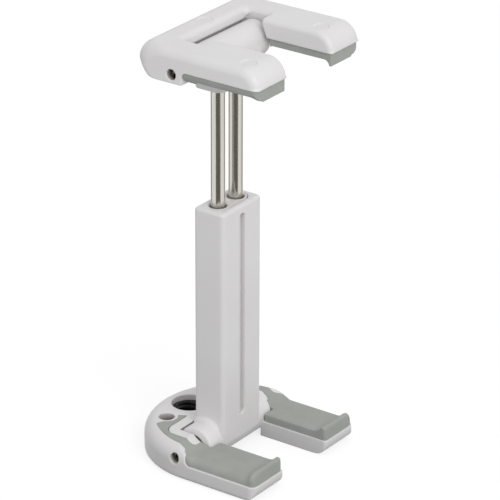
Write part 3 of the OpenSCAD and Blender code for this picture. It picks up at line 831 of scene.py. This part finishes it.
@dataclass
class LowerPad:
    """One rubber pad of the lower jaw: lip, flat, ramp, and a tail in the flange's channel.

    The pad is a strip between an inner and an outer line in plan. Rings across the strip follow
    each other from the lip at the arm's end to the tail beside the threaded insert. The crest
    and the hollow are circles seen from the side, by their middle's y and z and their radius.
    A run is a start and a length along y.
    """

    side: Side
    front: float = -21.5
    inner_x: float = 8.6
    outer_x: float = 19.5
    inner_corner: float = 0.8
    outer_corner: float = 1.35
    face_z: float = 5.6
    flange_z: float = 7.7
    crest: Triple = (-20.55, 6.15, 0.72)
    hollow: Triple = (-17.99, 8.1, 2.5)
    front_lean: float = 0.115
    ramp_y: float = -5.0
    ramp_r: float = 8.2
    pocket_y: float = -4.64
    pocket_x: float = 12.1
    rim_x: float = 14.75
    rim_front: float = -1.65
    rim_end: float = 1.3
    rim_corner: float = 3.0
    rim_back: float = 7.2
    flange_y: float = -1.3
    flange_r: float = 19.95
    flange_round: float = 3.8
    channel_r: float = 17.25
    shoulder: tuple[Pair, ...] = ((19.5, -4.64), (19.6, -3.9), (19.62, -3.2), (19.5, -2.55),
                                  (19.2, -2.0), (18.6, -1.55), (17.95, -1.2), (17.4, -0.75),
                                  (17.2, -0.25))
    hole: Triple = (8.66, 10.7, 2.55)
    tail: Pair = (6.55, 8.75)
    tail_x: float = 5.7
    edge: float = 0.28
    laid_edge: float = 0.10
    outer_round: float = 2.0
    proud: float = 0.04
    flange_run: Pair = (-4.2, 1.6)
    fade_run: Pair = (-5.0, 5.2)
    floor_run: Pair = (-3.2, 1.2)
    floor_z: Pair = (3.62, 5.85)
    least: float = 0.02
    rows: tuple[int, ...] = (14, 14, 20, 24, 24, 30)

    def profile(self, y: Array) -> Array:
        """Height of the pad seen from the side.

        A leaning front that touches a round crest, a hollow that touches it, the flat grip face,
        and a ramp that is a circle hung above the flat's end, up to the flange.

        Args:
            y: Places along the pad.

        Returns:
            Heights.
        """
        crest_y, crest_z, crest_r = self.crest
        hollow_y, hollow_z, hollow_r = self.hollow
        touch = crest_y + (hollow_y - crest_y) * crest_r / (crest_r + hollow_r)
        lean = self.front_lean
        slope = crest_z + (y - crest_y) / math.tan(lean) + crest_r / math.sin(lean)
        crest = np.where(y < crest_y - crest_r * math.cos(lean), slope,
                         crest_z + half_chord(crest_r, y - crest_y))
        hollow = hollow_z - half_chord(hollow_r, y - hollow_y)
        height = np.where(y < touch, crest, np.where(y < hollow_y, hollow, self.face_z))
        rise = self.ramp_r - half_chord(self.ramp_r, (y - self.ramp_y).clip(0.0))
        return np.where(y > self.ramp_y, np.minimum(self.face_z + rise, self.flange_z), height)

    def dome(self, x: Array, y: Array) -> Array:
        """Height of the flange, which falls off in a quarter round towards its rim."""
        out = np.hypot(x, (y - self.flange_y).clip(0.0))
        past = (out - self.flange_r + self.flange_round).clip(0.0, self.flange_round)
        return self.flange_z - self.flange_round + half_chord(self.flange_round, past)

    @staticmethod
    def arc(centre: Pair, radius: float, start: float, end: float, count: int) -> Array:
        """Points on a circle between two angles in degrees."""
        turn = np.radians(np.linspace(start, end, count))
        return np.array(centre) + radius * np.stack([np.cos(turn), np.sin(turn)], -1)

    @staticmethod
    def spread(points: Array | tuple[Pair, ...], count: int) -> Array:
        """Places points evenly by length along a line through given points.

        Args:
            points: The line's corners.
            count: How many points to place.

        Returns:
            The placed points.
        """
        line = np.array(points)
        length = np.concatenate([[0.0], np.cumsum(np.hypot(*np.diff(line, axis=0).T))])
        at = np.linspace(0.0, length[-1], count)
        return np.stack([np.interp(at, length, line[:, 0]), np.interp(at, length, line[:, 1])], -1)

    def lines(self) -> tuple[Array, Array]:
        """Works out the strip's inner and outer line, ring by ring.

        Returns:
            Inner and outer points in plan, in the same number.
        """
        start = 0.06 * np.linspace(0.0, 1.0, 5) ** 2
        lip = self.front + np.concatenate([start, np.linspace(0.1, 3.6, 48)])
        along = np.concatenate([lip, np.linspace(lip[-1] + 0.4, self.pocket_y, 34)])

        def cut(corner: float) -> Array:
            """How far a rounded corner draws the strip in."""
            return corner - half_chord(corner, (corner - (along - self.front)).clip(0.0))

        rim = (self.rim_x - self.rim_end, self.rim_front + self.rim_end)
        corner = (self.rim_x - self.rim_corner, self.rim_back - self.rim_corner)
        ledge, wall = (self.pocket_x, self.pocket_y), (self.pocket_x, self.rim_front)
        bend = np.concatenate([[wall], self.arc(rim, self.rim_end, -90.0, 0.0, 12)])
        turn = self.arc((0.0, self.flange_y), self.channel_r, 5.0, 43.0, 40)
        ring = self.arc(self.hole[:2], self.hole[2], -20.0, -137.0, 28)
        rows = self.rows
        inner = [
            np.stack([self.inner_x + cut(self.inner_corner), along], -1),
            self.spread(((self.inner_x, self.pocket_y), ledge), rows[0]),
            self.spread((ledge, wall), rows[1]),
            self.spread(bend, rows[2]),
            self.spread(((self.rim_x, rim[1]), (self.rim_x, corner[1])), rows[3]),
            self.arc(corner, self.rim_corner, 0.0, 90.0, rows[4]),
            self.spread(((corner[0], self.rim_back), (self.tail_x, self.rim_back)), rows[5]),
        ]
        outer = [
            np.stack([self.outer_x - cut(self.outer_corner), along], -1),
            self.spread(self.shoulder, sum(rows[:3])),
            self.spread(np.concatenate([turn, ring, [self.tail]]), sum(rows[3:])),
        ]
        return np.concatenate(inner), np.concatenate(outer)

    def build(self, finishes: Finishes) -> None:
        """Carries the section along the strip: P(u, v) = I(u) + d(v) (O(u) - I(u)) / |O(u) - I(u)|.

        The height at a point is the profile's on the arm and the flange's on the flange, less a
        small rounding along the inner line and a large one along the arm's outer line, which are
        both r - sqrt(r^2 - (r - d)^2) at the distance d from the line.

        Args:
            finishes: Where its finish comes from.
        """
        inner, outer = self.lines()
        span = outer - inner
        width = np.hypot(*span.T)[:, None]
        flange = smooth_step(share_of(outer[:, 1:], *self.flange_run))
        fade = smooth_step(share_of(outer[:, 1:], *self.fade_run))
        large = self.outer_round * (1.0 - fade) + self.laid_edge * fade
        small = self.edge * (1.0 - flange) + self.laid_edge * flange
        across = np.concatenate([
            small * (1.0 - np.cos(np.linspace(0.0, 0.5 * np.pi, 5))),
            small + (width - small - large) * np.linspace(0.06, 0.94, 10),
            width - large + large * np.sin(np.linspace(0.0, 0.5 * np.pi, 13))], 1)
        plan = inner[:, None, :] + span[:, None, :] * (across / width)[..., None]
        x, y = plan[..., 0], plan[..., 1]
        laid = np.minimum(self.profile(np.maximum(y, self.ramp_y)), self.dome(x, y)) + self.proud
        top = self.profile(y) * (1.0 - flange) + laid * flange
        top = top - (small - half_chord(small, (small - across).clip(0.0)))
        top = top - (large - half_chord(large, (large - (width - across)).clip(0.0)))
        arm, channel = self.floor_z
        low = arm + (channel - arm) * share_of(inner[:, 1:], *self.floor_run)
        top = np.maximum(top, low + self.least)
        points = np.stack([
            np.concatenate([x[:, :1], x, x[:, -1:]], 1) * self.side.value,
            np.concatenate([y[:, :1], y, y[:, -1:]], 1),
            np.concatenate([low, top, low], 1)], -1)
        name = f"lower_pad_{self.side.word}"
        finishes.seat(lattice(f"{name}_rubber", points), Slot.RUBBER, Body.BASE, name)


@dataclass
class Washer:
    """A thin steel washer on a hinge pin, with both of its outer edges broken."""

    name: str
    body: Body
    side: Side
    height: float
    from_x: float = 11.87
    thick: float = 0.2
    rim: float = 2.7
    broken: float = 0.06
    segments: int = 64

    def build(self, finishes: Finishes) -> None:
        """Turns a rectangle with broken corners: P(u, v) = (x(u), r(u) cos v, r(u) sin v).

        Args:
            finishes: Where its finish comes from.
        """
        c, rim, thick = self.broken, self.rim, self.thick
        section = np.array([(0.0, PIN_BORE), (0.0, rim - c), (c, rim), (thick - c, rim),
                            (thick, rim - c), (thick, PIN_BORE)])
        turn = full_turn(self.segments)
        along = (self.from_x + section[:, :1]) * self.side.value
        points = np.stack([np.broadcast_to(along, (len(section), self.segments)),
                           PIN_Y + section[:, 1:] * np.cos(turn),
                           self.height + section[:, 1:] * np.sin(turn)], -1)
        name = f"{self.name}_{self.side.word}"
        finishes.seat(lattice(f"{name}_ring", points, looped=True), Slot.PIN, self.body, name)


@dataclass
class ColumnShell:
    """The column's hollow housing and the cross barrel at its foot."""

    half_w: float = 7.36
    half_d: float = 4.05
    corner: float = 1.0
    shift_y: float = -0.22
    top: float = 61.15
    low: float = 4.0
    crown: float = 0.75
    groove_half: float = 1.02
    groove_painted_shade_colour: float = 1.15
    groove_z: Pair = (9.3, 59.05)
    groove_out: float = 0.14
    groove_wall: float = 0.34
    plug_r: float = 2.66
    plug_low: float = 57.6
    bore_r: float = 2.35
    bore_low: float = 10.15
    barrel_r: float = 4.5
    barrel_half: float = 11.85
    barrel_soft: float = 0.65
    pin_painted_shade_colour: float = 4.4
    fillet: float = 1.0
    fillet_r: float = 4.4
    fillet_ends: Pair = (54.0, 14.0)

    def outline(self) -> Array:
        """Goes round the column in plan, with its points close together beside the groove.

        Returns:
            The points in millimetres, from the front's left end to the right and round.
        """
        wide, painted_shade_colour, corner = self.half_w - self.corner, self.half_d - self.corner, self.corner
        fine = np.concatenate([np.linspace(0.0, 0.75, 6)[:-1], np.linspace(0.75, 1.4, 15)[:-1],
                               np.linspace(1.4, wide, 10)])
        line = np.concatenate([-fine[:0:-1], fine])
        front = np.stack([line, np.full(len(line), -self.half_d)], -1)
        turn = np.radians(np.linspace(-90.0, 0.0, 11))[1:-1]
        bend = np.stack([wide + corner * np.cos(turn), corner * np.sin(turn) - painted_shade_colour], -1)
        right = np.stack([np.full(8, self.half_w), np.linspace(-painted_shade_colour, painted_shade_colour, 8)], -1)
        half = np.concatenate([bend, right, (bend * [1.0, -1.0])[::-1]])
        back = np.stack([np.linspace(wide, -wide, 40), np.full(40, self.half_d)], -1)
        return np.concatenate([front, half, back, (half * [-1.0, 1.0])[::-1]])

    @staticmethod
    def pocket(plan: Array, radius: float) -> Array:
        """The long hole's line that faces a line in plan: two half circles joined by straights."""
        side, middle = np.abs(plan[:, 0]), ROD_PITCH / 2
        out = (side - middle).clip(0.0)
        length = np.hypot(out, plan[:, 1])
        x = np.sign(plan[:, 0]) * (np.minimum(side, middle) + radius * out / length)
        return np.stack([x, radius * plan[:, 1] / length], -1)

    @staticmethod
    def raised(plan: Array, height: Array | float) -> Array:
        """Puts points in plan at a height."""
        return np.concatenate([plan, np.broadcast_to(height, (*plan.shape[:-1], 1))], -1)

    def housing(self) -> Array:
        """Rings of the housing: up the outside, over the crown, and down into the hollow.

        Outside, P(u, v) = outline(v) at z(u). On the front, y is moved in by the groove's depth
        times a smooth step of the distance from the groove's middle line, which ends short of
        both ends of the column, so that the groove ends round.

        Returns:
            Grid of points in millimetres.
        """
        plan = self.outline()
        start, end = self.groove_z
        near = [np.linspace(start - 0.5, start + 1.6, 34), np.linspace(end - 1.6, end + 0.5, 34)]
        levels = np.concatenate([np.linspace(self.low, near[0][0] - 0.3, 7), near[0],
                                 np.linspace(near[0][-1] + 1.0, near[1][0] - 1.0, 34), near[1],
                                 np.linspace(near[1][-1] + 0.3, self.top - self.crown, 4)])
        wall = np.broadcast_to(plan, (len(levels), *plan.shape)).copy()
        middle = np.clip(levels, start + self.groove_half, end - self.groove_half)
        away = np.hypot(plan[None, :, 0], (levels - middle)[:, None])
        inside = (self.groove_half + self.groove_out - away) / self.groove_wall
        on_front = plan[None, :, 1] < -self.half_d + 0.01
        wall[..., 1] += on_front * self.groove_painted_shade_colour * smooth_step(np.clip(inside, 0.0, 1.0))
        rings = [self.raised(wall, levels[:, None, None])]
        shrink = np.array([self.half_w, self.half_d])
        for angle in np.radians(np.linspace(15.0, 90.0, 6)):
            inset = self.crown * (1.0 - math.cos(angle))
            height = self.top - self.crown * (1.0 - math.sin(angle))
            rings.append(self.raised(plan * (shrink - inset) / shrink, height)[None])
        mouth, bore = self.plug_r, self.bore_r
        for radius, height in ((mouth + 0.12, self.top), (mouth + 0.03, self.top - 0.03),
                               (mouth, self.top - 0.12), (mouth, self.plug_low),
                               (bore, self.plug_low), (bore, self.bore_low)):
            rings.append(self.raised(self.pocket(plan, radius), height)[None])
        return np.concatenate(rings) + [0.0, self.shift_y, 0.0]

    def barrel(self) -> Array:
        """Rings of the foot's barrel, turned about the hinge axis.

        Over the column's side faces the radius grows by f - sqrt(f^2 - (f - d)^2) at the distance
        d from the face, which is a concave round; the growth fades out towards front and back.

        Returns:
            Grid of points in millimetres.
        """
        soft, end = self.barrel_soft, self.barrel_half
        turn = np.radians(np.linspace(0.0, 90.0, 8))[::-1]
        rim = np.stack([end - soft + soft * np.sin(turn),
                        self.barrel_r - soft + soft * np.cos(turn)], -1)
        join = np.linspace(self.half_w + self.fillet, self.half_w - 0.3, 15)
        half = np.concatenate([[(end - self.pin_painted_shade_colour, PIN_BORE), (end, PIN_BORE)], rim,
                               np.stack([join, np.full(15, self.barrel_r)], -1)])
        section = np.concatenate([half, (half * [-1.0, 1.0])[::-1]])
        angle = full_turn(128)
        near = (self.fillet - (np.abs(section[:, 0]) - self.half_w).clip(0.0)).clip(0.0)
        grow = (self.fillet - half_chord(self.fillet, near)) * (section[:, 1] > self.fillet_r)
        lean = np.degrees(np.abs((angle + np.pi / 2) % (2.0 * np.pi) - np.pi))
        fade = np.clip((self.fillet_ends[0] - lean) / self.fillet_ends[1], 0.0, 1.0)
        radius = section[:, 1:] + grow[:, None] * smooth_step(fade)
        return np.stack([np.broadcast_to(section[:, :1], radius.shape),
                         PIN_Y + radius * np.cos(angle), LOWER_PIN_Z + radius * np.sin(angle)], -1)

    def build(self, finishes: Finishes) -> None:
        """Builds housing and barrel, which together stand for the column's solid.

        Args:
            finishes: Where their finish comes from.
        """
        housing = lattice("column_housing_shell", self.housing())
        barrel = lattice("column_foot_barrel", self.barrel())
        finishes.seat(housing, Slot.WHITE, Body.COLUMN, "column_housing")
        finishes.seat(barrel, Slot.WHITE, Body.COLUMN)


@dataclass
class Clamp:
    """The whole clamp, body by body. Each softened part gives its grid's step and its passes."""

    finishes: Finishes

    def keep(self, node: str, slot: Slot) -> None:
        """Shows a solid as it is, with the finish of its slot."""
        self.finishes.dress(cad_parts[node], slot)

    def lower_jaw(self) -> None:
        """Builds the base: white body, rubber pads, threaded insert, pins and washers."""
        BaseBody("base_body", Body.BASE, Slot.WHITE, 0.17, 3, 0.55).build(self.finishes)
        for side in Side:
            LowerPad(side).build(self.finishes)
            Washer("lower_washer", Body.BASE, side, LOWER_PIN_Z).build(self.finishes)
            self.keep(f"lower_pin_{side.word}", Slot.PIN)
        TripodInsert().build(self.finishes)

    def column(self) -> None:
        """Builds the hollow column with its plug and the springs that pull the rods in."""
        ColumnShell().build(self.finishes)
        GuidePlug("guide_plug", Body.COLUMN, Slot.PLUG, 0.10, 2).build(self.finishes)
        for side in Side:
            self.keep(f"spring_{side.word}", Slot.SPRING)

    def carriage(self) -> None:
        """Builds the two rods with their collars and screws, and the head that they carry."""
        HeadBlock("head_block", Body.CARRIAGE, Slot.WHITE, 0.16, 4).build(self.finishes)
        for side in Side:
            TurnedRod(side).build(self.finishes)
            self.keep(f"collar_{side.word}", Slot.COLLAR)
            self.keep(f"collar_screw_{side.word}", Slot.PIN)

    def upper_jaw(self) -> None:
        """Builds the upper jaw: white frame, rubber pads, pins and washers."""
        UpperFrame("upper_jaw", Body.UPPER, Slot.WHITE, 0.19, 3).build(self.finishes)
        for side in Side:
            pad = SoftenedPart(f"upper_pad_{side.word}", Body.UPPER, Slot.RUBBER, 0.13, 5)
            pad.build(self.finishes)
            Washer("upper_washer", Body.UPPER, side, UPPER_PIN_Z).build(self.finishes)
            self.keep(f"upper_pin_{side.word}", Slot.PIN)


@dataclass
class Studio:
    """Floor, light and camera, in metres and degrees.

    A card is a sector between two bearings, which count from the camera's own bearing towards
    the right of the picture, and has its own tone.
    """

    azimuth: float = -54.449
    elevation: float = 24.255
    roll: float = 0.161
    position: Triple = (-0.57083, -0.42501, 0.36684)
    focal_px: float = 3455.28
    frame_px: float = 500.0
    sensor: float = 36.0
    floor_r: float = 4.0
    floor_tone: tuple[float, float, float, float] = (0.03, 0.11, 0.12, 0.60)
    floor_dark: float = 0.30
    floor_glow: float = 0.76
    sky: float = 0.71
    key_energy: float = 6.2
    key_size: float = 0.9
    key_place: Triple = (-0.49, -0.96, 0.72)
    key_aim: Triple = (0.0, 0.0, 0.06)
    cards_at: tuple[Triple, ...] = ((-34.0, 40.0, 0.10), (112.0, 248.0, 0.42))
    card_r: Pair = (0.06, 1.2)
    card_z: float = 0.0005

    def axes(self) -> tuple[Vector, Vector, Vector]:
        """Works out the camera's right, up and forward directions from its angles.

        Returns:
            The three directions.
        """
        a, e, roll = (math.radians(x) for x in (self.azimuth, self.elevation, self.roll))
        right = Vector((math.cos(a), math.sin(a), 0.0))
        forward = Vector((-math.sin(a) * math.cos(e), math.cos(a) * math.cos(e), -math.sin(e)))
        up = right.cross(forward)
        turned = math.cos(roll) * right + math.sin(roll) * up
        return turned, -math.sin(roll) * right + math.cos(roll) * up, forward

    def camera(self) -> None:
        """Places the camera where the photograph was taken from."""
        right, up, forward = self.axes()
        data = bpy.data.cameras.new("camera")
        data.sensor_width = self.sensor
        data.lens = self.focal_px / self.frame_px * self.sensor
        data.clip_start = 0.01
        data.clip_end = 50.0
        camera = linked("camera", data)
        turn = Matrix((right, up, -forward)).transposed().to_4x4()
        camera.matrix_world = Matrix.Translation(self.position) @ turn
        bpy.context.scene.camera = camera

    @staticmethod
    def split(tree: Nodes, lit: bpy.types.Node, seen: bpy.types.Node, output: str) -> None:
        """Gives one shader to rays that carry light, and another to rays that see the backdrop.

        The backdrop is seen from the camera, mirrored, and through glass.

        Args:
            tree: The world's or floor's nodes.
            lit: The shader that lights.
            seen: The shader that shows.
            output: The type of the tree's last node.
        """
        path = tree.add("LightPath")
        total = path.outputs["Is Camera Ray"]
        for kind in ("Is Glossy Ray", "Is Transmission Ray"):
            most = tree.add("Math")
            most.operation = "MAXIMUM"
            tree.join(total, most.inputs[0])
            tree.join(path.outputs[kind], most.inputs[1])
            total = most.outputs[0]
        mix = tree.add("MixShader")
        tree.join(total, mix.inputs["Fac"])
        tree.join(lit.outputs[0], mix.inputs[1])
        tree.join(seen.outputs[0], mix.inputs[2])
        tree.join(mix.outputs[0], tree.add(output).inputs["Surface"])

    def world(self) -> None:
        """Lights the clamp from all round; only the camera and reflections see it white."""
        world = bpy.data.worlds.new("studio")
        bpy.context.scene.world = world
        tree = Nodes(world)
        light = tree.add("Background", Color=(1.0, 0.995, 1.0, 1.0), Strength=self.sky)
        seen = tree.add("Background", Color=(1.0, 1.0, 1.0, 1.0), Strength=1.0)
        self.split(tree, light, seen, "OutputWorld")

    @staticmethod
    def laid(name: str, outline: Array, material: bpy.types.Material) -> bpy.types.Object:
        """Lays one flat face under the clamp.

        Args:
            name: The object's name.
            outline: The face's corners in metres, in order.
            material: Its material.

        Returns:
            The new object.
        """
        mesh = bpy.data.meshes.new(name)
        mesh.from_pydata(outline.tolist(), [], [list(range(len(outline)))])
        mesh.materials.append(material)
        return linked(name, mesh)

    def floor(self) -> None:
        """Lays the pale floor, which keeps the clamp's soft shadow.

        The light that it throws back grows with the distance from the clamp. What is seen of it
        is a dim matte face that glows.
        """
        turn = full_turn(96)
        disc = self.floor_r * np.stack([np.cos(turn), np.sin(turn), 0.0 * turn], -1)
        material = bpy.data.materials.new("pale_floor")
        tree = Nodes(material)
        plain, away = tree.add("BsdfDiffuse"), tree.add("VectorMath")
        away.operation = "LENGTH"
        tree.join(tree.add("TexCoord").outputs["Object"], away.inputs[0])
        tree.join(tree.mapped(away.outputs["Value"], self.floor_tone), plain.inputs["Color"])
        shade = tree.add("BsdfDiffuse", Color=(*(self.floor_dark,) * 3, 1.0))
        glow, both = tree.add("Emission", Strength=self.floor_glow), tree.add("AddShader")
        tree.join(shade.outputs[0], both.inputs[0])
        tree.join(glow.outputs[0], both.inputs[1])
        self.split(tree, plain, both, "OutputMaterial")
        floor = self.laid("floor", disc, material)

    def cards(self) -> None:
        """Lays dark cards round the clamp that only its steel mirrors."""
        right, _, forward = self.axes()
        ahead = -Vector((forward.x, forward.y, 0.0)).normalized()
        for number, (start, end, tone) in enumerate(self.cards_at):
            shader = Shader(f"card_{number}_tone")
            material = shader.set(Base_Color=(tone, tone, 0.9 * tone, 1.0), Roughness=0.9)
            bearing = np.radians(np.linspace(start, end, 24))[:, None]
            rays = np.cos(bearing) * np.array(ahead) + np.sin(bearing) * np.array(right)
            rays[:, 2] = 0.0
            ring = np.concatenate([rays * self.card_r[0], rays[::-1] * self.card_r[1]])
            card = self.laid(f"card_{number}", ring + [0.0, AXIS_Y * MM, self.card_z], material)
            for ray in ("camera", "diffuse", "transmission", "shadow"):
                setattr(card, f"visible_{ray}", False)

    def lamps(self) -> None:
        """Hangs one broad soft lamp in front of and above the clamp."""
        data = bpy.data.lights.new("key", "AREA")
        data.shape = "DISK"
        data.size = self.key_size
        data.energy = self.key_energy
        data.color = (1.0, 0.995, 0.985)
        lamp = linked("key", data)
        lamp.location = self.key_place
        aim = Vector(self.key_aim) - Vector(self.key_place)
        lamp.rotation_euler = aim.to_track_quat("-Z", "Y").to_euler()

    def build(self) -> None:
        """Sets up the whole studio."""
        bpy.context.scene.view_settings.view_transform = "Standard"
        for step in (self.camera, self.world, self.floor, self.cards, self.lamps):
            step()


def main() -> None:
    """Builds the clamp's looks around its solids."""
    logging.basicConfig(level=logging.INFO, format="%(name)s %(message)s")
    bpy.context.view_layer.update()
    clamp = Clamp(Finishes())
    Studio().build()
    for part in (clamp.lower_jaw, clamp.column, clamp.carriage, clamp.upper_jaw):
        part()
        LOG.info("%s done", part.__name__)


if __name__ == "__main__":
    main()
